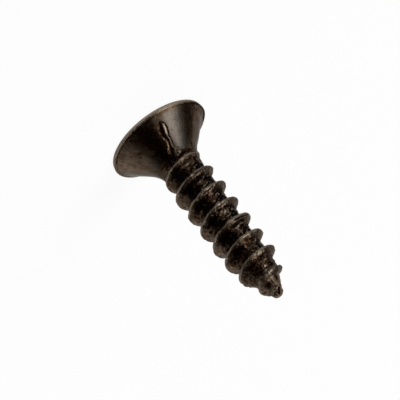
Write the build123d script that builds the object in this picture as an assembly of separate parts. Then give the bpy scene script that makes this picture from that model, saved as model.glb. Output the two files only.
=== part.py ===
from build123d import *
import os
from math import ceil, cos, pi, radians, sin, tan

# Self-tapping countersunk screw, modelled in millimetres and degrees. It stands on its flat
# head, so the axis is Z, the head face lies at Z = 0 and the point is at the top.

# Driving dimensions: whole screw
screw_length = 15.7
head_diameter = 7.66
face_diameter = 7.54
core_diameter = 2.5
thread_diameter = 3.61

# Driving dimensions: head
rim_height = 0.24
shoulder_width = 0.27
countersink_angle = 92.0
neck_diameter = 3.0
neck_fillet_radius = 3.4
neck_taper_length = 3.2

# Driving dimensions: thread, right-handed
thread_pitch = 1.575
crest_width = 0.14
point_flank_angle = 38.0
head_flank_angle = 24.0
runout_depth = 0.38
runout_turns = 2.0
runout_cover = 0.45
thread_start_angle = 282.0

# Driving dimensions: point
point_length = 2.4
point_diameter = 0.7
point_bevel = 0.15
thread_taper_length = 3.73
thread_taper_power = 1.83
thread_end_gap = 0.35

# Driving dimensions: cross recess in the head face
recess_span = 4.2
recess_wing_floor_span = 2.1
recess_floor_diameter = 0.5
recess_wing_width = 1.06
recess_wall_taper = 3.5
recess_corner_bevel = 0.17
recess_wing_depth = 2.0
recess_depth = 2.35

# Modelling values of the thread: points along each turn, and how deep its foot is sunk
points_per_turn = 12
foot_depth = 0.12

head_radius = head_diameter / 2
face_radius = face_diameter / 2
neck_radius = neck_diameter / 2
core_radius = core_diameter / 2
thread_radius = thread_diameter / 2
point_radius = point_diameter / 2
cone_radius = head_radius - shoulder_width
half_angle = radians(countersink_angle / 2)
neck_height = rim_height + (cone_radius - neck_radius) / tan(half_angle)

# The thread's first turn starts inside the head's cone, where nothing of it shows
thread_start = neck_height - runout_cover
thread_end = screw_length - thread_end_gap


def core_at(z):
    """Radius of the core: a cylinder that ends in a straight cone with a blunt point."""
    along = max(0.0, z - (screw_length - point_length)) / point_length
    return core_radius + (point_radius - core_radius) * along


def crest_at(z):
    """Radius of the thread's crest: it grows out of the neck and closes in on the point."""
    grown = min(1.0, (z - thread_start) / (runout_turns * thread_pitch))
    taper = max(0.0, z - (screw_length - thread_taper_length)) / thread_taper_length
    full = point_radius + (thread_radius - point_radius) * (1 - taper**thread_taper_power)
    return full - runout_depth * (1 - grown)


def thread_section(turn):
    """The four corners of the ridge's section at a turn, as radius and height pairs."""
    z = thread_start + thread_pitch * turn
    crest = crest_at(z)
    point_slope = tan(radians(point_flank_angle))
    head_slope = tan(radians(head_flank_angle))
    rise = max(crest - core_at(z), 0.0)
    foot = core_at(z + rise * point_slope)
    foot -= min(foot_depth, foot / 2)
    depth = crest - foot
    half_crest = crest_width / 2
    return [
        (foot, z - half_crest - depth * head_slope),
        (crest, z - half_crest),
        (crest, z + half_crest),
        (foot, z + half_crest + depth * point_slope),
    ]


def thread_point(turn, corner):
    """One corner of the ridge's section, carried round the axis to its place."""
    radius, height = thread_section(turn)[corner]
    angle = radians(thread_start_angle) + 2 * pi * turn
    return Vector(radius * cos(angle), radius * sin(angle), height)


def thread_edge(first, last, corner):
    """A corner's path from one turn to another, as a smooth curve."""
    turns = [first + (last - first) * i / points_per_turn for i in range(points_per_turn + 1)]
    return Edge.make_spline([thread_point(turn, corner) for turn in turns])


def thread_cap(turn):
    """The flat end of the ridge at a turn."""
    corners = [thread_point(turn, corner) for corner in range(4)]
    return Face(Wire([Edge.make_line(corners[i], corners[(i + 1) % 4]) for i in range(4)]))


def thread_ridge():
    """The helical ridge: two flanks, a narrow crest and a foot that is sunk in the core."""
    turns = (thread_end - thread_start) / thread_pitch
    spans = ceil(turns)
    faces = [thread_cap(0), thread_cap(turns)]
    for span in range(spans):
        first = turns * span / spans
        last = turns * (span + 1) / spans
        edges = [thread_edge(first, last, corner) for corner in range(4)]
        for corner in range(4):
            faces.append(Face.make_surface_from_curves(edges[corner], edges[(corner + 1) % 4]))
    return Solid(Shell(faces))


def blank():
    """The screw before its thread is rolled: head, neck, core and point, turned about Z."""
    with BuildPart() as turned:
        with BuildSketch(Plane.XZ) as profile:
            with BuildLine():
                Polyline(
                    (0, 0),
                    (face_radius, 0),
                    (head_radius, rim_height),
                    (cone_radius, rim_height),
                    (neck_radius, neck_height),
                    (core_radius, neck_height + neck_taper_length),
                    (core_radius, screw_length - point_length),
                    (point_radius, screw_length - point_bevel),
                    (point_radius - point_bevel, screw_length),
                    (0, screw_length),
                    close=True,
                )
            make_face()
            neck = profile.vertices().sort_by_distance((neck_radius, neck_height))[0]
            fillet(neck, radius=neck_fillet_radius)
        revolve(axis=Axis.Z)
    return turned.part


def cross_outline(wing_width):
    """A cross of two bars with bevelled inner corners."""
    with BuildSketch() as cross:
        Rectangle(recess_span, wing_width)
        Rectangle(wing_width, recess_span)
        inner = cross.vertices().sort_by_distance((0, 0))[:4]
        chamfer(inner, length=recess_corner_bevel)
    return cross.sketch


def cross_recess():
    """The driver's cross: four tapered wings that narrow towards a conical floor."""
    below_floor = recess_depth + recess_corner_bevel
    with BuildPart() as cutter:
        with BuildSketch():
            add(cross_outline(recess_wing_width))
        with BuildSketch(Plane.XY.offset(below_floor)):
            add(cross_outline(recess_wing_width - 2 * below_floor * tan(radians(recess_wall_taper))))
        loft(ruled=True)
        with BuildSketch(Plane.XZ):
            with BuildLine():
                Polyline(
                    (0, 0),
                    (recess_span / 2, 0),
                    (recess_wing_floor_span / 2, recess_wing_depth),
                    (recess_floor_diameter / 2, recess_depth),
                    (0, recess_depth),
                    close=True,
                )
            make_face()
        revolve(axis=Axis.Z, mode=Mode.INTERSECT)
    return cutter.part


def screw():
    """The whole screw, one solid of steel."""
    threaded = blank().solid().fuse(thread_ridge())
    return threaded.cut(cross_recess().solid())


os.makedirs("parts", exist_ok=True)
body = screw()
body.label = "screw"
export_step(body, "parts/screw.step")
print("screw", body.is_valid, round(body.volume, 2), "cubic millimetres")
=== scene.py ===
"""A dark bronze self-tapping screw, standing on its flat head on a pale floor.

The screw is one closed mesh, worked out with numpy in millimetres and turned into metres at the end.
Its axis is Z, the head face is at Z = 0 and the point is at the top. Angles run anticlockwise from +X.
"""

import math

import bpy
import numpy as np
from mathutils import Matrix, Vector


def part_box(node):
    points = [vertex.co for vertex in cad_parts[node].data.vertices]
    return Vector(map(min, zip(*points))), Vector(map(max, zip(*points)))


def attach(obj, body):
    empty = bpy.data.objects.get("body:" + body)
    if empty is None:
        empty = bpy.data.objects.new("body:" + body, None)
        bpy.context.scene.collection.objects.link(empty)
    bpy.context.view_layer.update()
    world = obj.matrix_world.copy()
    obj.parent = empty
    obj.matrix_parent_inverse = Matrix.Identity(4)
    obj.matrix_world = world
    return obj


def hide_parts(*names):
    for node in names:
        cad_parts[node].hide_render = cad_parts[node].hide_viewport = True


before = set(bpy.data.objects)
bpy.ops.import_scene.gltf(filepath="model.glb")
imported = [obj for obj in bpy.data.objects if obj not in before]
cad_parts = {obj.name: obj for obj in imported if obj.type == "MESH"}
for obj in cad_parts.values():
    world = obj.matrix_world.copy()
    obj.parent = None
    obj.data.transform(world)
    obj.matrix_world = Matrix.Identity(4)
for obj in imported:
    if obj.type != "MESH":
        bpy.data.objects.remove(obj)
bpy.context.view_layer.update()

MM = 0.001

# ---------------- sizes, in millimetres and radians
screw_low, screw_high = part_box("screw")
length = (screw_high[2] - screw_low[2]) / MM
lip_radius = min(screw_high[0], screw_high[1]) / MM

face_radius = 3.79
rim_height = 0.24
rim_round = 0.045
cone_radius = 3.58
cone_half_angle = math.radians(47.0)
neck_radius = 1.226
neck_blend = 1.049
point_start = 13.3
point_radius = 0.32
point_round = 0.16

pitch = 1.5735
thread_phase = 0.562
core_radius = 1.175
thread_radius = 1.815
crest_half_width = 0.074
point_flank_width = 0.495
head_flank_width = 0.243
runout_start = 1.75
runout_length = 3.2
runout_depth = 0.362
taper_start = 11.95
taper_power = 1.85
root_softness = 0.327
ridge_softness = 0.03

recess_half_span = 2.1
recess_floor_half_span = 1.05
recess_half_wing = 0.53
recess_floor_half_wing = 0.41
recess_bevel = 0.12
recess_wing_depth = 2.0
recess_depth = 2.35
recess_collar = 2.7

# The crease down the cone, each line as heights and the angles in degrees where it lies: the slit, the
# bright ridge that runs along it, the dark edge on the ridge's other side, and a fainter ridge beyond
# the slit
slit_path = (
    (0.68, 257.0), (0.94, 257.2), (1.03, 258.5), (1.24, 259.7), (1.42, 260.4), (1.64, 258.5), (1.78, 257.7),
    (1.95, 259.2), (2.12, 260.9), (2.38, 263.0), (2.52, 263.6), (2.77, 267.6), (3.05, 269.5),
)
ridge_path = (
    (0.8, 253.5), (1.13, 253.3), (1.24, 253.8), (1.5, 255.5), (1.7, 254.8), (1.84, 254.3), (2.08, 256.0),
    (2.21, 256.2), (2.37, 254.6), (2.49, 256.4), (2.64, 256.9), (2.85, 259.5),
)
edge_path = (
    (0.68, 255.9), (0.78, 253.5), (0.92, 250.6), (1.09, 249.9), (1.31, 250.5), (1.51, 252.3), (1.61, 253.0),
    (1.7, 252.4), (2.11, 253.2), (2.25, 253.4),
)
far_path = (
    (1.12, 264.7), (1.51, 264.8), (1.67, 263.3), (1.82, 262.2), (2.05, 264.4), (2.12, 267.0), (2.33, 271.4),
    (2.55, 274.5),
)
# How wide the slit is to either side, by height: it opens beside the leaf-shaped end of the ridge and
# again at the neck
slit_widths = (
    (0.66, 0.05), (0.82, 0.12), (0.94, 0.15), (1.08, 0.19), (1.24, 0.16), (1.5, 0.13), (1.66, 0.09),
    (1.9, 0.05), (2.12, 0.055), (2.26, 0.08), (2.4, 0.13), (2.64, 0.12), (2.8, 0.14), (3.05, 0.2),
)
# How much wider it is on its gentle side, how deep it is, and how far its flap is sunk, by height
gentle_widths = ((1.3, 0.4), (1.6, 0.26), (2.0, 0.2), (2.6, 0.2))
slit_depths = ((0.6, 0.03), (1.1, 0.07), (1.7, 0.07), (2.4, 0.11), (2.9, 0.17))
flap_depths = ((0.8, 0.01), (1.1, 0.05), (1.55, 0.05), (1.75, 0.02))
# How strongly the ridge beside the slit shines, by height
ridge_lights = (
    (0.8, 0.2), (0.9, 0.6), (1.02, 1.0), (1.36, 1.0), (1.46, 0.5), (1.56, 0.5), (1.7, 0.8),
    (1.82, 0.4), (1.96, 0.5), (2.08, 0.35), (2.21, 0.55), (2.37, 1.0), (2.49, 0.7), (2.64, 0.9),
    (2.76, 0.6), (2.86, 0.0),
)
# The knob at the neck: its line, height and radius
knob_path = ((2.0, 250.3), (3.0, 250.3))
knob_height = 2.73
knob_radius = 0.08
# Where the crease, its flap and its upper ridge begin and end, each as a pair of heights, and how high
# its parts stand
crease_begins = (0.62, 0.82)
crease_ends = (2.85, 3.05)
flap_ends = (2.2, 2.4)
upper_ridge_begins = (2.25, 2.4)
narrowest_flap = 0.08
flap_lip = 0.05
upper_ridge_rise = 0.05
far_ridge_rise = 0.03
far_ridge_breaks = (0.2, 0.5)
knob_rise = 0.1

# The notch pinched into the point, as heights and degrees, and the ridge beside it, as degrees and heights
notch_path = ((15.1, 222.0), (15.24, 225.0), (15.37, 230.0), (15.49, 239.5), (15.6, 253.0))
point_ridge = ((218, 15.08), (237, 15.21), (253, 15.3), (270, 15.37), (310, 15.37), (330, 15.39))

# Lines, each as its path, half width, start and end
upper_ridge = (ridge_path, 0.07, 2.0, 2.86)
bright_ridge = (ridge_path, 0.06, 0.8, 2.86)
far_ridge = (far_path, 0.055, 1.15, 2.5)
sunken_edge = (edge_path, 0.075, 0.68, 2.2)
notch = (notch_path, 0.09, 15.24, 15.66)
line_fade = 0.08
point_ridge_width = 0.05
point_ridge_begins = (214.0, 226.0)
point_ridge_ends = (315.0, 335.0)

# Soft spots: middle and half width in degrees, height, half height, and amount. The brown blot is a stain,
# the shaded patch on the point is painted shade and the two spots near the neck are painted highlights
brown_blot = (287.0, 24.0, 14.83, 0.29, 0.98)
shaded_patch = (219.0, 13.0, 14.66, 0.28, 0.85)
neck_highlight_left = (229.0, 9.0, 2.1, 0.35, 0.7)
neck_highlight_right = (314.0, 20.0, 2.25, 0.3, 0.6)
# How dark the notch in the point is painted, as shade
notch_shade = 1.8

# Marks on the point: how high or deep they are, and where the flat and the swelling lie, in degrees and
# in millimetres, each as a middle and a half width
point_ridge_rise = 0.05
notch_depth = 0.16
flat_side = (190.0, 32.0)
flat_begins = (15.1, 15.5)
flat_depth = 0.11
swelling_side = (340.0, 34.0)
swelling_height = (15.3, 0.22)
swelling_rise = 0.06

# The rim is bent up a little on one side, with a hollow above it and a bulge over that. Angles are from
# the bend's middle, in radians, and heights in millimetres, each as a middle and a half width
bent_angle = math.radians(180.0)
bend_rise = 0.12
bend_half_angle = 0.3
bend_fade = 0.25
hollow_side = (-0.52, 0.45)
hollow_height = (0.5, 0.24)
hollow_depth = 0.14
bulge_height = (1.55, 0.35)
bulge_rise = 0.05
# The lump where the thread starts, likewise
lump_side = (0.25, 0.5)
lump_height = (2.97, 0.12)
lump_rise = 0.07

# Folds that rolling left beside the crest: how far round the helix in turns, half length in turns,
# height above the crest line and half width
folds = (
    (1.2, 0.08, 0.15, 0.045), (2.35, 0.06, 0.15, 0.05), (2.69, 0.075, 0.13, 0.045),
    (3.18, 0.07, 0.14, 0.05), (3.71, 0.065, 0.16, 0.05), (4.4, 0.05, 0.2, 0.05),
    (4.69, 0.055, 0.12, 0.06), (5.28, 0.06, 0.15, 0.055), (5.63, 0.085, 0.15, 0.04),
    (6.05, 0.07, 0.13, 0.045), (6.63, 0.05, 0.19, 0.045), (7.42, 0.06, 0.15, 0.04),
)
fold_ends = (0.7, 1.15)
fold_slant = 0.02
fold_slit_width = 0.012
fold_slit_opening = 0.6
fold_ridge_gap = 0.02
fold_ridge_width = 0.028
fold_depth = 0.06
fold_ridge_rise = 0.03

# Random relief: grains as size and seed, and streaks as reach, width and seed
crease_grain = (0.13, 31)
coarse_grain = (0.3, 1)
fine_grain = (0.15, 3)
finer_grain = (0.085, 15)
crest_waves = (0.45, 7)
crest_nicks = (0.24, 9)
flank_streaks = (0.7, 0.13, 21)
coarse_stretch = (1.0, 1.0, 0.8)
# Depths of the relief. The fine and finer ones are those of smooth metal, then what the flanks and the
# valleys add to them
dent_depth = 0.13
pit_depth = 0.07
pit_edge = (0.6, 0.8)
fine_depths = (0.006, 0.05, 0.03)
finer_depths = (0.005, 0.048)
streak_depth = 0.07
wave_depth = 0.06
nick_depth = 0.08
nick_edge = (0.62, 0.8)
# Where the relief begins and fades, as pairs of heights, and how far up the ridge it lies, as shares
relief_begins = (2.6, 3.4)
point_worn = (13.9, 14.6)
point_smooth = (15.35, 15.62)
point_wear = 0.45
valley_share = (0.15, 0.75)
flank_share = (0.8, 0.97)
crest_share = (0.85, 0.98)

# Random values
table_size = 4096
lattice_shift = 200.0
turn_meeting = 0.12
lowest_scale = 0.08
lowest_ridge = 0.1

# ---------------- grid
columns = 248
column_crowding = 0.36
crowded_angle = math.radians(255.0)
rows_per_turn = 34
cone_rows = 48
shank_start = 2.2
row_crowding = 1.0
row_crowd = (0.08, 0.25)
row_samples = 401
rim_steps = 5
shoulder_drop = 0.02
floor_rings = (0.66, 0.33)
mouth_spread = 0.03
mouth_bevel_share = 0.012
sharp_angle = math.radians(50.0)


def side_of(angle):
    """The angle in degrees, from 0 to 360."""
    return np.degrees(angle) % 360.0


def turned_from(angle, middle):
    """How far an angle lies from the middle one, between minus and plus half a turn."""
    return (angle - middle + math.pi) % (2.0 * math.pi) - math.pi


def by_height(z, table):
    """A value looked up by height in a table of heights and values."""
    heights, values = np.array(table).T
    return np.interp(z, heights, values)


def by_side(angle, table):
    """A value looked up by angle in a table of degrees and values, which goes once round."""
    degrees, values = np.array(table).T
    return np.interp(side_of(angle), degrees, values)


def smooth_max(a, b, softness):
    """The larger of two arrays, with the corner between them rounded."""
    return 0.5 * (a + b + np.hypot(a - b, softness))


def rise(x, low, high):
    """Rises from 0 to 1 between low and high along a cubic."""
    t = np.clip((x - low) / (high - low), 0.0, 1.0)
    return t * t * (3.0 - 2.0 * t)


def fall(x, low, high):
    """Falls from 1 to 0 between low and high along a cubic."""
    return 1.0 - rise(x, low, high)


def between(x, begins, ends):
    """1 between two pairs of limits: a rise over the first pair times a fall over the second."""
    return rise(x, *begins) * fall(x, *ends)


def bell(x, width):
    """1 at 0, falling to 0 on both sides as a Gauss curve of the given width."""
    return np.exp(-((x / width) ** 2))


def band(x, middle, half_width):
    """1 at the middle, falling to 0 on both sides as a Gauss curve."""
    return bell(x - middle, half_width)


def patch(angle, z, place):
    """A soft spot: its amount times a Gauss curve round the screw and one up it."""
    middle, half_width, height, half_height, amount = place
    return amount * band(side_of(angle), middle, half_width) * band(z, height, half_height)


def grain(points, size, seed):
    """Smooth random values from 0 to 1: a random number at every corner of a lattice of cubes of the given
    size, blended across each cube by cubics."""
    table = np.random.default_rng(seed).random(table_size)
    order = np.random.default_rng(seed + 1).permutation(table_size)
    cell = np.floor(points / size).astype(np.int64)
    t = points / size - cell
    t = t * t * (3.0 - 2.0 * t)
    total = np.zeros(points.shape[:-1])
    for corner in range(8):
        step = np.array([corner & 1, corner >> 1 & 1, corner >> 2])
        x, y, z = np.moveaxis(cell + step, -1, 0)
        chosen = order[(order[(order[x % table_size] + y) % table_size] + z) % table_size]
        total += np.prod(np.where(step == 1, t, 1.0 - t), axis=-1) * table[chosen]
    return total


def body_radius(z):
    """The turned body: a straight cone that runs into the neck along a hyperbola, then a core that
    closes in a straight line on the point."""
    above_neck = cone_radius - (z - rim_height) * math.tan(cone_half_angle) - neck_radius
    flare = neck_radius + smooth_max(above_neck, 0.0, neck_blend)
    along = np.clip((z - point_start) / (length - point_start), 0.0, 1.0)
    return flare + (point_radius - flare) * along


def crest_radius(z):
    """The thread's crest: it grows out of the neck and closes in on the point as a power of the height."""
    grown = np.clip((z - runout_start) / runout_length, 0.0, 1.0)
    taper = np.clip((z - taper_start) / (length - taper_start), 0.0, 1.0)
    full = point_radius + (thread_radius - point_radius) * (1.0 - taper**taper_power)
    return full - runout_depth * (1.0 - grown)


def root_radius(z):
    """The valley between two turns: the core, and the same share of the body where that closes in."""
    return core_radius * np.minimum(body_radius(z) / neck_radius, 1.0)


def thread_shape(offset, scale):
    """The ridge's section across the crest, from 0 in the valley to 1 on the crest: flat on top, two
    straight flanks, and a valley that is rounded by a hyperbola. scale narrows it as it gets lower."""
    flank = np.where(offset > 0.0, point_flank_width, head_flank_width) * scale
    ramp = 1.0 - (np.abs(offset) - crest_half_width) / flank
    return np.minimum(smooth_max(ramp, 0.0, root_softness), 1.0)


def thread_turns(angle, z):
    """Turns along the helix at a height and angle: whole on each crest line."""
    return (z - thread_phase) / pitch - angle / (2.0 * math.pi)


def crest_offset(angle, z):
    """Height above the nearest crest line, which climbs one pitch in each turn."""
    turns = thread_turns(angle, z)
    return (turns - np.round(turns)) * pitch


def streaks(angle, z, reach, width, seed):
    """Random values from 0 to 1 that are drawn out along the thread: grain on the surface unrolled along
    the helix, with the given reach along it and the given width across. They fade to a half where one
    turn's valley meets the next."""
    along = (2.0 * math.pi * np.round(thread_turns(angle, z)) + angle) * thread_radius
    offset = crest_offset(angle, z)
    unrolled = np.stack([along / reach, offset / width, np.zeros_like(along)], axis=-1)
    meeting = fall(np.abs(offset), pitch / 2 - turn_meeting, pitch / 2)
    return 0.5 + (grain(unrolled + lattice_shift, 1.0, seed) - 0.5) * meeting


def fold_lines(angle, z):
    """The folds as two arrays: their dark slits, and the pair of fine ridges that run apart and together
    again on both sides of each slit. Both are Gauss curves across, and fade towards the slit's ends."""
    along = np.round(thread_turns(angle, z)) + angle / (2.0 * math.pi)
    offset = crest_offset(angle, z)
    slit, ridges = np.zeros_like(offset), np.zeros_like(offset)
    for middle, half_length, height, half_width in folds:
        share = (along - middle) / half_length
        gap = half_width * np.clip(1.0 - share**2, 0.0, 1.0)
        there = fall(np.abs(share), *fold_ends)
        level = offset - height - fold_slant * share
        above = bell(level - gap - fold_ridge_gap, fold_ridge_width)
        below = bell(level + gap + fold_ridge_gap, fold_ridge_width)
        slit = np.maximum(slit, there * bell(level, fold_slit_width + fold_slit_opening * gap))
        ridges = np.maximum(ridges, there * np.maximum(above, below))
    return slit, ridges


def clean_radius(angle, z):
    """Radius of the surface before wear: the body and the thread's ridge, whichever stands further out."""
    crest = crest_radius(z)
    foot = root_radius(z)
    height = np.maximum(crest - foot, 0.0)
    scale = np.clip(height / (thread_radius - core_radius), lowest_scale, 1.0)
    ridge = foot + height * thread_shape(crest_offset(angle, z), scale)
    return smooth_max(body_radius(z), ridge, ridge_softness)


def ridge_share(angle, z):
    """How far up the ridge the surface lies, from 0 in the valley to 1 on the crest."""
    foot = root_radius(z)
    height = np.maximum(crest_radius(z) - foot, lowest_ridge)
    return np.clip((clean_radius(angle, z) - foot) / height, 0.0, 1.0)


def on_surface(radius, angle, z):
    """Points from radius, angle and height."""
    return np.stack([radius * np.cos(angle), radius * np.sin(angle), z + 0.0 * radius], axis=-1)


def across(angle, z, path):
    """Distance round the cone from a path of heights and degrees, in millimetres, positive anticlockwise."""
    return turned_from(angle, np.radians(by_height(z, path))) * body_radius(z)


def line(angle, z, path, width, start, end):
    """A line along a path: a Gauss curve across, fading in from start and out by end."""
    there = between(z, (start - line_fade, start + line_fade), (end - line_fade, end + line_fade))
    return bell(across(angle, z, path), width) * there


def knob(angle, z):
    """A small round knob at the neck, beside the ridge's end."""
    return bell(across(angle, z, knob_path), knob_radius) * bell(z - knob_height, knob_radius)


def far_ridge_line(angle, z, points, breaks):
    """The faint ridge beyond the slit, from 0 to 1, broken up by grain between the two given values."""
    return line(angle, z, *far_ridge) * rise(grain(points, *crease_grain), *breaks)


def crease(angle, z):
    """Height of the crease: a slit that drops off sharply on one side and rises gently on the other, the
    strip beside it, which climbs from its sunken edge to the slit like a flap that was rolled over, the
    ridge above the flap, a broken ridge beyond the slit, and a knob at the neck."""
    points = on_surface(clean_radius(angle, z), angle, z)
    there = between(z, crease_begins, crease_ends)
    beside = across(angle, z, slit_path)
    width = by_height(z, slit_widths) + np.where(beside > 0.0, by_height(z, gentle_widths), 0.0)
    height = -by_height(z, slit_depths) * there * bell(beside, width)
    from_edge = across(angle, z, edge_path)
    climb = np.clip(from_edge / np.maximum(from_edge - beside, narrowest_flap), 0.0, 1.0)
    flap = (climb > 0.0) * (beside < 0.0) * there * fall(z, *flap_ends)
    sunk = by_height(z, flap_depths)
    height += flap * (-sunk + (sunk + flap_lip) * climb)
    height += upper_ridge_rise * rise(z, *upper_ridge_begins) * line(angle, z, *upper_ridge)
    height += far_ridge_rise * far_ridge_line(angle, z, points, far_ridge_breaks)
    return height + knob_rise * knob(angle, z)


def notch_line(angle, z):
    """The notch in the point, from 0 to 1: a short line along its path."""
    return line(angle, z, *notch)


def point_line(angle, z):
    """The ridge beside the notch, from 0 to 1: a line that climbs round the point."""
    side = side_of(angle)
    there = between(side, point_ridge_begins, point_ridge_ends)
    return bell(z - by_side(angle, point_ridge), point_ridge_width) * there


def point_stain_and_shade(angle, z):
    """How black the marks on the point are: painted shade in the notch, a brown blot and a painted shade
    patch.
    """
    marks = [notch_shade * notch_line(angle, z), patch(angle, z, brown_blot), patch(angle, z, shaded_patch)]
    return np.maximum.reduce(marks)


def point_marks(angle, z):
    """Height of the marks on the point: the ridge, the notch, a flat on the far side of the notch and a
    swelling on the other side."""
    side = side_of(angle)
    flat = band(side, *flat_side) * rise(z, *flat_begins)
    swelling = band(side, *swelling_side) * band(z, *swelling_height)
    lines = point_ridge_rise * point_line(angle, z) - notch_depth * notch_line(angle, z)
    return lines - flat_depth * flat + swelling_rise * swelling


def thread_lump(angle, z):
    """Height of the lump where the thread starts: Gauss curves round the screw and up it."""
    turned = turned_from(angle, bent_angle)
    return lump_rise * band(turned, *lump_side) * band(z, *lump_height)


def rim_hollow(angle, z):
    """Depth of the hollow above the bent rim, less the bulge over it, as Gauss curves likewise."""
    turned = turned_from(angle, bent_angle)
    deep = hollow_depth * band(z, *hollow_height) - bulge_rise * band(z, *bulge_height)
    return band(turned, *hollow_side) * deep


def relief(angle, z):
    """Height of everything that wear and rolling left on the surface: pits and dimples that are deepest in
    the valleys, waves and nicks in the crest, the folds beside it, the crease, the marks on the point, the
    lump where the thread starts and the hollow above the bent rim."""
    points = on_surface(clean_radius(angle, z), angle, z)
    share = ridge_share(angle, z)
    threaded = rise(z, *relief_begins)
    valley = fall(share, *valley_share) * threaded
    flank = fall(share, *flank_share) * threaded
    crest = threaded * rise(share, *crest_share)
    coarse = grain(points * coarse_stretch, *coarse_grain) - 0.5
    fine = grain(points, *fine_grain) - 0.5
    finer = grain(points, *finer_grain) - 0.5
    pits = dent_depth * valley * coarse - pit_depth * valley * rise(fine + 0.5, *pit_edge)
    smooth, on_flank, in_valley = fine_depths
    dimples = (smooth + on_flank * flank + in_valley * valley) * fine
    smooth, on_flank = finer_depths
    dimples = dimples + (smooth + on_flank * flank) * finer
    dimples += flank * streak_depth * (streaks(angle, z, *flank_streaks) - 0.5)
    waves = wave_depth * (grain(points, *crest_waves) - 0.5)
    wave = crest * (waves - nick_depth * rise(grain(points, *crest_nicks), *nick_edge))
    worn = (1.0 - point_wear * rise(z, *point_worn)) * fall(z, *point_smooth)
    slit, ridges = fold_lines(angle, z)
    marks = crease(angle, z) + point_marks(angle, z) + thread_lump(angle, z) - rim_hollow(angle, z)
    return (pits + dimples + wave) * worn - fold_depth * slit + fold_ridge_rise * ridges + marks


def surface_radius(angle, z):
    """Radius of the finished surface. It closes on the axis in a small dome."""
    dome = np.clip((z - (length - point_round)) / point_round, 0.0, 1.0)
    return (clean_radius(angle, z) + relief(angle, z) * (1.0 - dome)) * np.sqrt(1.0 - dome**2)


# ---------------- mesh of the screw
even_angle = 2.0 * math.pi * np.arange(columns) / columns
column_angle = even_angle - column_crowding * np.sin(even_angle - crowded_angle)


def ring(radius, z, angle=column_angle):
    """A closed ring of points round the axis."""
    return on_surface(np.broadcast_to(radius, columns), angle, np.broadcast_to(z, columns))


def row_heights():
    """Heights of the shank's rows at angle 0. They repeat with each turn and crowd towards the crest."""
    fine = np.linspace(-pitch / 2, pitch / 2, row_samples)
    density = 1.0 + row_crowding * band(fine, *row_crowd)
    along = np.concatenate([[0.0], np.cumsum(density[1:] + density[:-1])])
    offsets = np.interp(np.arange(rows_per_turn) / rows_per_turn, along / along[-1], fine)
    turns = np.arange(0, math.ceil(length / pitch) + 2)
    return (thread_phase + pitch * turns[:, None] + offsets[None, :]).ravel()


def shank():
    """The shank on a grid whose rows climb with the thread: row i leaves the last column and goes on as
    row i + rows_per_turn in the first. Rows below the start fall together on one ring, and rows above
    the tip on one point. On the dome the rows follow a sine, so they close in on the axis evenly."""
    heights = row_heights()
    z = heights[:, None] + pitch * column_angle[None, :] / (2.0 * math.pi)
    low = z <= shank_start
    high = z >= length
    z = np.clip(z, shank_start, length)
    dome_start = length - point_round
    dome = np.clip((z - dome_start) / point_round, 0.0, 1.0)
    z = np.where(dome > 0.0, dome_start + point_round * np.sin(dome * math.pi / 2), z)
    angle = np.broadcast_to(column_angle, z.shape)
    points = on_surface(surface_radius(angle, z), angle, z)
    number = np.full(z.shape, -1)
    own = ~low & ~high
    number[own] = columns + 1 + np.arange(own.sum())
    number[low] = np.broadcast_to(np.arange(columns), z.shape)[low]
    number[high] = columns
    start = ring(surface_radius(column_angle, np.full(columns, shank_start)), shank_start)
    tip = np.array([[0.0, 0.0, length]])
    vertices = np.concatenate([start, tip, points[own]])
    rows = len(heights) - rows_per_turn
    after = np.empty_like(number[:rows])
    after[:, :-1] = number[:rows, 1:]
    after[:, -1] = number[rows_per_turn:, 0]
    quads = np.stack([number[: rows - 1], after[:-1], after[1:], number[1:rows]], axis=2)
    return vertices, quads.reshape(-1, 4)


def rim_profile():
    """The head's outline from its flat face, up the leaning rim and in along the shoulder, as radius and
    height."""
    turn = np.linspace(0.0, math.pi / 2, rim_steps)
    edge_radius = face_radius - rim_round * (1 - np.sin(turn))
    face_edge = np.stack([edge_radius, rim_round * (1 - np.cos(turn))], 1)
    top = rim_height - rim_round * (1 - np.sin(turn))
    rim_edge = np.stack([lip_radius - rim_round * (1 - np.cos(turn)), top], 1)
    inner = np.linspace(lip_radius - rim_round, cone_radius + shoulder_drop, 4)[1:]
    shoulder = np.stack([inner, rim_height - shoulder_drop * np.linspace(0.33, 1.0, 3)], 1)
    return np.concatenate([face_edge, rim_edge, shoulder])


def bent_rise(z):
    """How far the rim is bent up on one side, for each column: most at the rim's top, nothing at the head's
    face or up the cone."""
    up = min(z / rim_height, 1.0) ** 2 * bell(max(z - rim_height, 0.0), bend_fade)
    return bend_rise * bell(column_angle - bent_angle, bend_half_angle) * up


def rings_to_quads(first, count):
    """Quads between neighbouring rings, which are numbered one after another from first."""
    number = first + np.arange(count * columns).reshape(count, columns)
    after = np.roll(number, -1, axis=1)
    return np.stack([number[:-1], after[:-1], after[1:], number[1:]], axis=2).reshape(-1, 4)


def join_rings(lower, upper):
    """Quads between two rings that are given by their point numbers."""
    return np.stack([lower, np.roll(lower, -1), np.roll(upper, -1), upper], axis=1)


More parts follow.
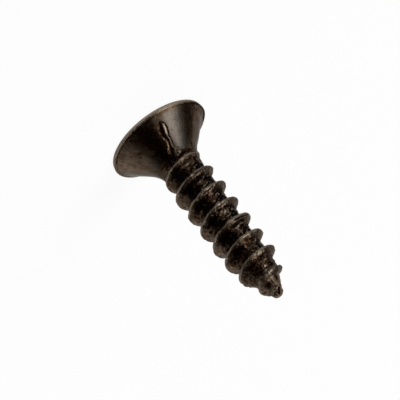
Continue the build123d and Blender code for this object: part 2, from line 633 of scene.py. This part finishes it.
def cross_outline(half_span, half_wing):
    """A cross with round wing ends and bevelled inner corners, as one point for each column. Each quarter
    is the wing along +X turned round: half a bevel, a straight side, the end's arc, and back."""
    quarter = columns // 4
    tip_angle = math.asin(half_wing / half_span)
    start = half_wing + recess_bevel
    side = np.linspace(start, half_span * math.cos(tip_angle), quarter // 3)
    middle = [[start - recess_bevel / 2, -half_wing - recess_bevel / 2]]
    lower = np.concatenate([middle, np.stack([side, np.full(side.shape, -half_wing)], 1)])
    arc_angle = np.linspace(-tip_angle, tip_angle, quarter - 2 * len(lower) + 3)[1:-1]
    arc = half_span * np.stack([np.cos(arc_angle), np.sin(arc_angle)], 1)
    wing = np.concatenate([lower, arc, lower[:0:-1] * (1.0, -1.0)])
    turn = np.arange(4)[:, None] * math.pi / 2
    x = wing[:, 0] * np.cos(turn) - wing[:, 1] * np.sin(turn)
    y = wing[:, 0] * np.sin(turn) + wing[:, 1] * np.cos(turn)
    outline = np.stack([x.ravel(), y.ravel()], 1)
    return np.roll(outline, -(columns // 8), axis=0)


def recess():
    """The driver's cross, from its mouth down: the outline shrinks with depth and ends in a shallow cone."""
    share = np.array([0.0, mouth_bevel_share, 0.35, 0.7, 1.0])
    spread = np.array([mouth_spread, 0.0, 0.0, 0.0, 0.0])
    span = recess_half_span + (recess_floor_half_span - recess_half_span) * share + spread
    wing = recess_half_wing + (recess_floor_half_wing - recess_half_wing) * share + spread
    outlines = [cross_outline(s, w) for s, w in zip(span, wing)]
    outlines += [outlines[-1] * inward for inward in floor_rings]
    depth_share = np.concatenate([share, [1.0, 1.0]])
    reach_span = np.concatenate([span, [span[-1], span[-1]]])
    rings = []
    for outline, part, reach in zip(outlines, depth_share, reach_span):
        inward = 1.0 - np.hypot(outline[:, 0], outline[:, 1]) / reach
        floor = recess_wing_depth + inward * (recess_depth - recess_wing_depth)
        rings.append(np.column_stack([outline, part * floor]))
    return np.concatenate(rings), len(rings)


def screw_points():
    """All points and faces of the closed screw: shank, cone, rim, head face and recess."""
    vertices, quads = shank()
    cone_heights = np.linspace(rim_height, shank_start, cone_rows + 1)[:-1]
    rings = [ring(recess_collar, 0.0, even_angle)]
    rings += [ring(r, z + bent_rise(z)) for r, z in rim_profile()]
    rings += [ring(surface_radius(column_angle, np.full(columns, z)), z + bent_rise(z)) for z in cone_heights]
    first = len(vertices)
    vertices = np.concatenate([vertices, *rings])
    quads = np.concatenate([quads, rings_to_quads(first, len(rings))])
    last = first + (len(rings) - 1) * columns + np.arange(columns)
    quads = np.concatenate([quads, join_rings(last, np.arange(columns))])
    hollow, count = recess()
    inner = len(vertices)
    vertices = np.concatenate([vertices, hollow, [[0.0, 0.0, recess_depth]]])
    quads = np.concatenate([quads, rings_to_quads(inner, count)[:, ::-1]])
    quads = np.concatenate([quads, join_rings(inner + np.arange(columns), first + np.arange(columns))])
    floor = inner + (count - 1) * columns + np.arange(columns)
    centre = np.full(columns, len(vertices) - 1)
    quads = np.concatenate([quads, np.stack([centre, centre, np.roll(floor, -1), floor], 1)])
    return vertices, quads


def split_faces(quads):
    """Drops repeated corners: quads with one such corner become triangles, flatter ones go."""
    same = quads == np.roll(quads, -1, axis=1)
    whole = quads[same.sum(axis=1) == 0]
    pinched = same.sum(axis=1) == 1
    keep = ~same[pinched]
    triangles = quads[pinched][keep].reshape(-1, 3)
    return whole, triangles


def make_mesh(name, vertices, quads):
    """Puts points and faces into a new object at the origin, in metres, with smooth shading."""
    whole, triangles = split_faces(quads)
    mesh = bpy.data.meshes.new(name)
    mesh.from_pydata((vertices * MM).tolist(), [], whole.tolist() + triangles.tolist())
    mesh.shade_smooth()
    mesh.set_sharp_from_angle(angle=sharp_angle)
    piece = bpy.data.objects.new(name, mesh)
    bpy.context.scene.collection.objects.link(piece)
    return piece


# ---------------- wear, oxide, painted shade and painted highlights, as values on the mesh
# How dark the thread's valleys are on each side of the screw, by angle in degrees: oxide in the hollows,
# thickened on some sides as painted shade and painted dark reflection
oxide_and_shade_side = (
    (0, 0.1), (40, 0.5), (80, 0.95), (120, 0.55), (160, 0.1), (186, 0.0), (194, 0.12), (204, 0.38),
    (216, 0.62), (228, 0.5), (236, 0.4), (252, 0.4), (260, 0.5), (268, 0.84), (276, 1.12), (284, 1.34),
    (294, 1.28), (300, 1.02), (306, 0.72), (314, 0.5), (326, 0.32), (345, 0.12), (360, 0.1),
)
# How dark the cone is, likewise, beside the rim and below: stains and painted dark reflections
cone_dark_rim_side = (
    (0, 0.0), (60, 0.45), (110, 0.15), (150, 0.0), (190, 0.0), (200, 0.22), (208, 0.34), (215, 0.15),
    (224, 0.0), (254, 0.0), (262, 0.1), (272, 0.42), (284, 0.4), (293, 0.26), (312, 0.27), (326, 0.22),
    (338, 0.0), (360, 0.0),
)
cone_dark_side = (
    (0, 0.0), (60, 0.45), (110, 0.15), (150, 0.0), (192, 0.0), (199, 0.45), (205, 0.64), (211, 0.36),
    (216, 0.06), (221, 0.0), (261, 0.0), (265, 0.45), (271, 0.95), (284, 0.98), (290, 0.6), (297, 0.16),
    (304, 0.05), (318, 0.0), (360, 0.0),
)
# How dark the painted shadow round the neck is, likewise, and the fine painted shade line under the rim
neck_side = (
    (0, 0.2), (60, 0.7), (120, 0.5), (190, 0.15), (204, 0.7), (218, 0.72), (228, 0.62), (240, 0.92),
    (300, 0.75), (316, 0.35), (334, 0.15), (360, 0.2),
)
under_rim_side = (
    (0, 0.6), (60, 0.8), (140, 0.5), (152, 0.2), (182, 0.2), (194, 0.5), (210, 0.7), (225, 0.55),
    (240, 0.42), (250, 0.48), (262, 0.75), (270, 0.88), (290, 0.95), (305, 0.75), (330, 0.7), (337, 1.05),
    (344, 0.7), (360, 0.6),
)
# How dark the painted shade band above each crest is, likewise
band_side = (
    (0, 0.1), (60, 0.3), (120, 0.1), (200, 0.0), (222, 0.05), (232, 0.52), (240, 0.8), (248, 0.6),
    (256, 0.52), (270, 0.16), (360, 0.1),
)
# How dark the deepest part of the valley is painted as shade, on top of that
deep_side = (
    (0, 0.15), (120, 0.3), (196, 0.42), (208, 0.66), (240, 0.74), (252, 0.42), (300, 0.42), (312, 0.15),
    (326, 0.0), (360, 0.05),
)
# How far the crests are rubbed bright, likewise: wear, with more on some sides as painted highlight and less
# on others as painted shade
crest_wear_and_light_side = (
    (0, 0.15), (60, 0.6), (120, 0.6), (170, 0.1), (205, 0.15), (222, 0.4), (238, 0.54), (247, 0.52),
    (256, 0.78), (267, 0.32), (283, 0.25), (300, 0.5), (318, 0.62), (332, 0.62), (346, 0.45), (360, 0.15),
)
# How far the rim is rubbed bright, likewise
rim_side = (
    (0, 0.6), (90, 0.85), (180, 0.9), (210, 0.75), (228, 1.0), (275, 1.0), (292, 0.65), (345, 0.6),
    (360, 0.6),
)
# How far the valleys' streaks glint, likewise
glint_side = (
    (0, 0.2), (60, 0.6), (100, 0.2), (200, 0.2), (215, 0.8), (252, 0.9), (266, 0.3), (320, 0.2),
    (360, 0.2),
)
# How far the cone is painted with a pale grey highlight, likewise
highlight_side = (
    (0, 0.0), (30, 0.0), (50, 0.6), (90, 0.0), (216, 0.0), (227, 0.7), (247, 0.8), (257, 0.1),
    (264, 0.0), (360, 0.0),
)

# Oxide and painted shade in the valleys. Bands are a height from the crest line, or an angle in degrees, with
# a half width
upper_band = (0.3, 0.12)
deep_band = (-0.48, 0.18)
# A patch of painted shade in the valley on one side, away from the crest line
dark_side = (218.0, 12.0)
dark_side_reach = (0.25, 0.45)
dark_side_shade = 0.4
long_streaks = (0.5, 0.13, 41)
short_streaks = (0.22, 0.08, 43)
short_share = 0.8
streaks_mean = 0.9
streaks_strength = 1.4
streaks_calmed = 0.9
thick_oxide = (0.75, 1.2)
valley_reach = (0.35, 0.95)
thinned_from = (11.3, 12.3)
thinned_share = 0.42
bare_point = (14.1, 14.6)
oxide_and_shade_begins = (2.3, 2.75)
# The painted shade line just under each crest's edge, on one side
edge_side = (272.0, 17.0)
edge_band = (-0.095, 0.045)
edge_shade = 0.75
# Painted shade under the rim, in the crease, along its sunken edge and round the neck, and oxide in the pits
# on the point
under_rim_gap = 0.03
under_rim_width = 0.055
under_rim_start = 0.015
crack_shade = 1.1
crack_ends = (0.66, 3.1)
edge_darkness = ((1.6, 0.95), (1.72, 0.5))
neck_band = (2.88, 0.3)
point_pits = (0.17, 53)
point_pit_edge = (0.58, 0.74)
point_pits_from = (13.9, 14.4)
point_pit_oxide = 0.5
point_cleaned = 0.06
# Stains and painted dark reflections on the cone
smear_grain = (0.3, 47)
fine_smear_grain = (0.12, 49)
smear_stretch = (1.0, 1.0, 0.5)
fine_smear_share = 0.6
smear_mean = 0.8
smear_strength = 0.6
off_rim = (0.4, 0.95)
cone_dark_begins = (0.1, 0.35)
cone_dark_ends = (3.0, 3.5)
thickest_oxide_and_shade = 1.5

# Rubbed places and painted highlights
rubbed_begins = (2.3, 2.8)
rubbed_share = (0.86, 0.99)
crest_edge = (0.14, 0.26)
# The first crest line, the folds' ridges, the valleys' glints, the ridges beside the crease, the knob and the
# point's ridge and specks are painted highlights
first_crest = (0.06, 0.05)
first_crest_begins = (2.55, 2.85)
first_crest_ends = (3.5, 4.0)
first_crest_bright = 0.75
fold_bright = 0.7
glint_streaks = (0.25, 0.09, 45)
glint_edge = (0.58, 0.72)
glint_bright = 0.85
glints_end = (14.0, 14.5)
dull_band = (0.3, 0.13)
dull_band_share = 0.8
rim_top = 0.001
ridge_bright = 0.75
far_ridge_bright = 0.65
far_ridge_bright_breaks = (0.3, 0.55)
knob_bright = 1.1
lit_specks = (0.15, 51)
lit_speck_edge = (0.5, 0.72)
point_bright = 0.2
lit_speck_bright = 0.42
point_specks_begin = (13.6, 14.3)
point_ridge_bright = 0.36

# The dusty point, the painted highlight on the cone and the inside of the recess
point_dust = 0.75
dusty_point = (14.1, 14.8)
highlight_begins = (0.2, 0.6)
highlight_ends = (2.5, 2.9)
recess_gap = 0.5
recess_oxide = 0.55


def valley_oxide_and_shade(angle, z):
    """Oxide and painted shade in the thread's valleys: a depth by side, whose changes round the screw are
    painted shade and dark reflection, and by height from the crest line, broken up by streaks along the
    thread, which do less where it lies thick. It thins towards the point."""
    offset = crest_offset(angle, z)
    drawn = streaks(angle, z, *long_streaks) + short_share * streaks(angle, z, *short_streaks) - streaks_mean
    deep = by_side(angle, oxide_and_shade_side) + by_side(angle, band_side) * band(offset, *upper_band)
    deep += by_side(angle, deep_side) * band(offset, *deep_band)
    off_crest = rise(np.abs(offset), *dark_side_reach)
    deep += dark_side_shade * band(side_of(angle), *dark_side) * off_crest
    broken = streaks_strength - streaks_calmed * rise(deep, *thick_oxide)
    low = fall(ridge_share(angle, z), *valley_reach)
    valley = low * (deep + broken * drawn) * rise(z, *oxide_and_shade_begins)
    return valley * ((1.0 - thinned_share * rise(z, *thinned_from)) * fall(z, *bare_point))


def cone_stain_and_reflection(angle, z, points):
    """Stains and painted dark reflections on the cone: a depth by side, one beside the rim and one below,
    smeared by grain.
    """
    smear = grain(points * smear_stretch, *smear_grain)
    smear = smear + fine_smear_share * grain(points, *fine_smear_grain) - smear_mean
    lower = rise(z, *off_rim)
    spot = by_side(angle, cone_dark_rim_side) * (1.0 - lower) + by_side(angle, cone_dark_side) * lower
    stain = spot * rise(z, *cone_dark_begins) + smear_strength * smear * (spot > 0.0)
    return stain * fall(z, *cone_dark_ends)


def oxide_and_shade(angle, z, points):
    """How black the metal is, from oxide and painted shade: 0 on clean metal, about 1 where it is black, and
    up to 1.5 where no metal breaks through. It is the most of the valleys' oxide and painted shade, the
    painted shade line under the rim, the painted shade in the crease and along its sunken edge, the point's
    painted shade and stains, its pits, the painted shadow round the neck, the cone's stains and painted dark
    reflections, the painted shade in the folds' slits and the painted shade line under each crest's edge."""
    valley = valley_oxide_and_shade(angle, z)
    rim_line = bell(z - rim_height - under_rim_gap, under_rim_width) * (z > rim_height - under_rim_start)
    # Painted shade in the crease's slit
    crack = crack_shade * line(angle, z, slit_path, by_height(z, slit_widths), *crack_ends)
    pits = point_pit_oxide * rise(grain(points, *point_pits), *point_pit_edge)
    near_edge = edge_shade * band(side_of(angle), *edge_side) * band(crest_offset(angle, z), *edge_band)
    laid = np.maximum.reduce([
        np.zeros_like(z),
        valley,
        by_side(angle, under_rim_side) * rim_line,
        crack,
        by_height(z, edge_darkness) * line(angle, z, *sunken_edge),
        point_stain_and_shade(angle, z),
        pits * rise(z, *point_pits_from),
        by_side(angle, neck_side) * band(z, *neck_band),
        cone_stain_and_reflection(angle, z, points),
        fold_lines(angle, z)[0],
        near_edge * rise(z, *oxide_and_shade_begins),
    ])
    return np.minimum(laid - point_cleaned * rise(z, *bare_point), thickest_oxide_and_shade)


def wear_and_highlight(angle, z, points):
    """How bright the metal is, from wear and painted highlights, from 0 to 1: the most of the thread's rubbed
    crests, the painted highlight on the first crest line and on the folds' ridges, the valleys' painted
    glints, the rubbed rim, the painted highlights on the ridges beside the crease and on the knob, and the
    worn blunt point with painted highlight specks."""
    offset = crest_offset(angle, z)
    threaded = rise(z, *rubbed_begins)
    on_crest = fall(np.abs(offset), *crest_edge)
    crest = rise(ridge_share(angle, z), *rubbed_share) * threaded * on_crest
    first = first_crest_bright * band(offset, *first_crest)
    first *= between(z, first_crest_begins, first_crest_ends)
    glints = glint_bright * rise(streaks(angle, z, *glint_streaks), *glint_edge)
    glints *= by_side(angle, glint_side) * threaded * fall(z, *glints_end)
    glints *= 1.0 - dull_band_share * band(offset, *dull_band)
    far = far_ridge_bright * far_ridge_line(angle, z, points, far_ridge_bright_breaks)
    spots = point_bright + lit_speck_bright * rise(grain(points, *lit_specks), *lit_speck_edge)
    spots *= rise(z, *point_specks_begin) * (1.0 - np.minimum(point_stain_and_shade(angle, z), 1.0))
    bright = np.maximum.reduce([
        crest * by_side(angle, crest_wear_and_light_side),
        first,
        fold_bright * fold_lines(angle, z)[1],
        glints,
        by_side(angle, rim_side) * (z < rim_height + rim_top),
        ridge_bright * by_height(z, ridge_lights) * line(angle, z, *bright_ridge),
        far,
        knob_bright * knob(angle, z),
        spots + point_ridge_bright * point_line(angle, z),
    ])
    return np.clip(bright, 0.0, 1.0)


def matt(z):
    """How dull and dusty the metal is, from 0 to 1: the blunt point."""
    return point_dust * rise(z, *dusty_point)


def painted_highlight(angle, z):
    """How far the cone is painted with a grey highlight: a share by side, and two soft spots near the neck.
    """
    near_neck = patch(angle, z, neck_highlight_left) + patch(angle, z, neck_highlight_right)
    on_cone = between(z, highlight_begins, highlight_ends)
    return (by_side(angle, highlight_side) + near_neck) * on_cone


def store_wear_and_light(piece, vertices):
    """Puts oxide with painted shade, wear with painted highlights, the cone's painted highlight and matt on
    the mesh as values that the material reads.
    """
    angle = np.arctan2(vertices[:, 1], vertices[:, 0])
    z = vertices[:, 2]
    inside = np.hypot(vertices[:, 0], vertices[:, 1]) < clean_radius(angle, z) - recess_gap
    black = np.where(inside, recess_oxide, oxide_and_shade(angle, z, vertices))
    bright = np.where(inside, 0.0, wear_and_highlight(angle, z, vertices))
    highlight = np.where(inside, 0.0, painted_highlight(angle, z))
    for name, values in (("oxide_and_shade", black), ("wear_and_highlight", bright), ("painted_highlight", highlight), ("matt", matt(z))):
        layer = piece.data.attributes.new(name, "FLOAT", "POINT")
        layer.data.foreach_set("value", values.astype(np.float32))


# ---------------- materials
# Colours: two bronze browns, the grey of the cone's painted highlight, dust, umber and black for oxide and
# painted shade, and pale bronze for wear and painted highlights
dark_brown = (0.0335, 0.0204, 0.0118, 1.0)
light_brown = (0.0745, 0.054, 0.0388, 1.0)
highlight_grey = (0.068, 0.0585, 0.049, 1.0)
dust_brown = (0.141, 0.094, 0.056, 1.0)
umber_oxide_and_shade = (0.0208, 0.0082, 0.0027, 1.0)
black_oxide_and_shade = (0.0014, 0.0002, 0.0001, 1.0)
worn_and_lit_bronze = (0.205, 0.166, 0.127, 1.0)
metal_tint = (0.62, 0.6, 0.58, 1.0)
board_white = (0.9, 0.9, 0.9, 1.0)
board_glow = 0.92

# Noises, each as scale per metre, detail and roughness
blotch_noise = (1100.0, 2.0, 0.5)
mottle_noise = (4500.0, 4.0, 0.65)
speck_noise = (9000.0, 2.0, 0.6)
# How strongly mottle and speck break up each value, and between which values each finish sets in
oxide_and_shade_mottle, oxide_and_shade_speck = 2.0, 1.0
wear_and_highlight_speck, highlight_speck = 1.1, 0.9
brown_range = (0.4, 0.6)
umber_range = (0.2, 0.55)
black_range = (0.5, 0.9)
wear_and_highlight_range = (0.15, 0.95)
highlight_range = (0.1, 0.95)
dust_range = (0.35, 0.62)
dust_least, dust_most = 0.45, 1.2
bare_roughness = 0.28
speck_roughness = 0.1
oxide_and_shade_roughness = 0.25
bump_strength = 0.65
bump_height = 0.00002
bump_mottle, bump_speck = 0.6, 0.4


def dark_bronze():
    """Antique bronze plating: a dark brown metal, mottled, black where oxide lies and where shade is painted,
    paler where rubbed and where highlights are painted, and greyer under the cone's painted highlight.
    """
    material = bpy.data.materials.new("dark_bronze")
    material.use_nodes = True
    nodes, links = material.node_tree.nodes, material.node_tree.links
    shader = nodes["Principled BSDF"]
    shader.inputs["Specular IOR Level"].default_value = 0.02
    shader.inputs["Specular Tint"].default_value = metal_tint
    place = nodes.new("ShaderNodeTexCoord")

    def noise(scale, detail, roughness):
        node = nodes.new("ShaderNodeTexNoise")
        node.inputs["Scale"].default_value = scale
        node.inputs["Detail"].default_value = detail
        node.inputs["Roughness"].default_value = roughness
        links.new(place.outputs["Object"], node.inputs["Vector"])
        return node.outputs["Fac"]

    def value(name):
        node = nodes.new("ShaderNodeAttribute")
        node.attribute_name = name
        return node.outputs["Fac"]

    def combine(operation, a, b, c=0.0):
        node = nodes.new("ShaderNodeMath")
        node.operation = operation
        for socket, source in zip(node.inputs, (a, b, c)):
            if isinstance(source, (int, float)):
                socket.default_value = source
            else:
                links.new(source, socket)
        return node.outputs[0]

    def spread(source, low, high, to_low=0.0, to_high=1.0):
        node = nodes.new("ShaderNodeMapRange")
        node.interpolation_type = "SMOOTHSTEP"
        for name, number in (("From Min", low), ("From Max", high), ("To Min", to_low), ("To Max", to_high)):
            node.inputs[name].default_value = number
        links.new(source, node.inputs["Value"])
        return node.outputs["Result"]

    def blend(factor, first, second):
        node = nodes.new("ShaderNodeMix")
        node.data_type = "RGBA"
        links.new(factor, node.inputs["Factor"])
        for socket, source in ((node.inputs[6], first), (node.inputs[7], second)):
            if isinstance(source, tuple):
                socket.default_value = source
            else:
                links.new(source, socket)
        return node.outputs[2]

    def broken_up(source, texture, strength):
        """The source plus the texture's swing to either side of its middle, times a strength."""
        return combine("MULTIPLY_ADD", combine("SUBTRACT", texture, 0.5), strength, source)

    blotch = noise(*blotch_noise)
    mottle = noise(*mottle_noise)
    speck = noise(*speck_noise)

    # Bronze drifts between two browns, in blotches with a finer mottle over them
    drift = combine("MULTIPLY_ADD", mottle, 0.5, combine("MULTIPLY", blotch, 0.5))
    bronze = blend(spread(drift, *brown_range), dark_brown, light_brown)
    # Oxide and painted shade break up along their edge with the mottle and are umber before they are black.
    # The worn metal with its painted highlights, and the cone's painted highlight, break up with the speck
    laid = broken_up(broken_up(value("oxide_and_shade"), mottle, oxide_and_shade_mottle), speck, oxide_and_shade_speck)
    black = spread(laid, *black_range)
    bright = spread(broken_up(value("wear_and_highlight"), speck, wear_and_highlight_speck), *wear_and_highlight_range)
    highlight = spread(broken_up(value("painted_highlight"), speck, highlight_speck), *highlight_range)
    dust = combine("MULTIPLY", value("matt"), spread(mottle, *dust_range, dust_least, dust_most))
    colour = blend(highlight, bronze, highlight_grey)
    colour = blend(dust, colour, dust_brown)
    colour = blend(spread(laid, *umber_range), colour, umber_oxide_and_shade)
    colour = blend(black, colour, black_oxide_and_shade)
    colour = blend(bright, colour, worn_and_lit_bronze)
    links.new(colour, shader.inputs["Base Color"])
    # Oxide, painted shade and dust aren't metallic, and oxide and painted shade are rougher
    shiny = combine("SUBTRACT", 1.0, value("matt"))
    links.new(combine("MULTIPLY", shiny, spread(black, 0.0, 1.0, 1.0, 0.0)), shader.inputs["Metallic"])
    rough = combine("MULTIPLY_ADD", speck, speck_roughness, bare_roughness)
    links.new(combine("MULTIPLY_ADD", black, oxide_and_shade_roughness, rough), shader.inputs["Roughness"])

    bump = nodes.new("ShaderNodeBump")
    bump.inputs["Strength"].default_value = bump_strength
    bump.inputs["Distance"].default_value = bump_height
    uneven = combine("MULTIPLY_ADD", mottle, bump_mottle, combine("MULTIPLY", speck, bump_speck))
    links.new(uneven, bump.inputs["Height"])
    links.new(bump.outputs["Normal"], shader.inputs["Normal"])
    return material


def white_board():
    """Matt white board. Seen straight or in a reflection it is nearly plain white, and it keeps a little of
    its own shading, so the screw's shadow still lies on it."""
    material = bpy.data.materials.new("white_board")
    material.use_nodes = True
    nodes, links = material.node_tree.nodes, material.node_tree.links
    shader = nodes["Principled BSDF"]
    shader.inputs["Base Color"].default_value = board_white
    shader.inputs["Roughness"].default_value = 0.9
    shader.inputs["Specular IOR Level"].default_value = 0.0
    path = nodes.new("ShaderNodeLightPath")
    seen = path.outputs["Is Camera Ray"]
    for name in ("Is Glossy Ray", "Is Transmission Ray"):
        either = nodes.new("ShaderNodeMath")
        either.operation = "MAXIMUM"
        links.new(seen, either.inputs[0])
        links.new(path.outputs[name], either.inputs[1])
        seen = either.outputs[0]
    share = nodes.new("ShaderNodeMath")
    share.operation = "MULTIPLY"
    share.inputs[1].default_value = board_glow
    links.new(seen, share.inputs[0])
    plain = nodes.new("ShaderNodeEmission")
    mixed = nodes.new("ShaderNodeMixShader")
    links.new(share.outputs[0], mixed.inputs["Fac"])
    links.new(shader.outputs["BSDF"], mixed.inputs[1])
    links.new(plain.outputs["Emission"], mixed.inputs[2])
    links.new(mixed.outputs["Shader"], nodes["Material Output"].inputs["Surface"])
    return material


# ---------------- stage, in millimetres
# The floor's profile from the screw outwards, as radius and height. It starts under the head's edge
floor_profile = (
    (face_radius - rim_round, -0.005), (100.0, -0.005), (400.0, 0.0), (450.0, 8.0), (473.0, 30.0),
    (480.0, 70.0),
)
floor_segments = 96
lamp_distance = 220.0
# Lamps, each as its name, the direction it stands in, its two sides and its surface brightness
lamps = (
    ("key", (-0.53, -0.15, 0.83), (95.0, 95.0), 7.4),
    ("low_key", (-0.74, -0.43, 0.53), (90.0, 80.0), 4.8),
    ("side_panel", (0.73, 0.45, 0.5), (200.0, 190.0), 1.22),
    ("low_side", (0.58, 0.78, 0.22), (90.0, 90.0), 1.7),
    ("edge_panel", (0.62, -0.07, 0.78), (60.0, 60.0), 0.7),
    ("back_panel", (0.05, 0.62, 0.78), (130.0, 100.0), 4.0),
    ("low_panel", (-0.6, 0.76, 0.25), (110.0, 80.0), 1.6),
    ("under_panel", (0.0, 0.0, -1.0), (600.0, 600.0), 0.7),
)
room_grey = 0.02
camera_lean = math.radians(52.41)
camera_tilt = math.radians(26.49)
view_centre = (0.337, 0.0, 5.955)
view_width = 28.15
lens_length = 800.0
# The nearest and furthest that the camera sees, in metres
clip_range = (0.01, 2.0)


def floor_and_backdrop():
    """A round floor whose edge sweeps up into a low wall: one profile carried once round the axis. The head
    covers the round opening in its middle, so its face can be seen from below."""
    radius, height = np.array(floor_profile).T
    turn = np.linspace(0.0, 2.0 * math.pi, floor_segments, endpoint=False)
    z = np.broadcast_to(height[:, None], (len(radius), len(turn)))
    points = on_surface(radius[:, None] + 0.0 * turn, turn[None, :], z).reshape(-1, 3)
    number = np.arange(len(points)).reshape(z.shape)
    after = np.roll(number, -1, axis=1)
    quads = np.stack([number[:-1], number[1:], after[1:], after[:-1]], axis=2).reshape(-1, 4)[:, ::-1]
    mesh = bpy.data.meshes.new("floor")
    mesh.from_pydata((points * MM).tolist(), [], quads.tolist())
    mesh.shade_smooth()
    mesh.materials.append(white_board())
    piece = bpy.data.objects.new("floor", mesh)
    bpy.context.scene.collection.objects.link(piece)


def softbox(name, direction, size, radiance):
    """A flat lamp that faces the screw from a direction, with the given surface brightness."""
    width, height = (s * MM for s in size)
    lamp = bpy.data.lights.new(name, "AREA")
    lamp.shape = "RECTANGLE"
    lamp.size, lamp.size_y = width, height
    lamp.energy = radiance * math.pi * width * height
    target = Vector((0.0, 0.0, length / 3 * MM))
    towards = Vector(direction).normalized()
    place = bpy.data.objects.new(name, lamp)
    place.location = target + towards * lamp_distance * MM
    place.rotation_mode = "QUATERNION"
    place.rotation_quaternion = towards.to_track_quat("Z", "Y")
    bpy.context.scene.collection.objects.link(place)


def lights():
    """Two key lamps, three panels on the other side, two behind, one under the head, and a dim grey room."""
    for name, direction, size, radiance in lamps:
        softbox(name, direction, size, radiance)
    world = bpy.data.worlds.new("room")
    world.use_nodes = True
    world.node_tree.nodes["Background"].inputs["Color"].default_value = (room_grey, room_grey, room_grey, 1.0)
    bpy.context.scene.world = world


def camera():
    """A long lens beside the head, looking down on the cone and along the thread, turned on its side. Its
    three axes are those of a level view that is tilted down and then leaned over."""
    lean, tilt = camera_lean, camera_tilt
    right = Vector((-math.sin(lean), math.cos(lean) * math.sin(tilt), math.cos(lean) * math.cos(tilt)))
    up = Vector((-math.cos(lean), -math.sin(lean) * math.sin(tilt), -math.sin(lean) * math.cos(tilt)))
    back = Vector((0.0, -math.cos(tilt), math.sin(tilt)))
    target = Vector(view_centre) * MM
    lens = bpy.data.cameras.new("camera")
    lens.lens = lens_length
    distance = view_width * lens.lens / lens.sensor_width
    lens.clip_start, lens.clip_end = clip_range
    eye = bpy.data.objects.new("camera", lens)
    turned = Matrix((right, up, back)).transposed().to_4x4()
    eye.matrix_world = Matrix.Translation(target + back * distance * MM) @ turned
    bpy.context.scene.collection.objects.link(eye)
    bpy.context.scene.camera = eye


# ---------------- build
screw_vertices, screw_quads = screw_points()
screw = make_mesh("screw_body", screw_vertices, screw_quads)
store_wear_and_light(screw, screw_vertices)
screw.data.materials.append(dark_bronze())
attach(screw, "root")
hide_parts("screw")

floor_and_backdrop()
lights()
camera()
bpy.context.scene.view_settings.view_transform = "Standard"
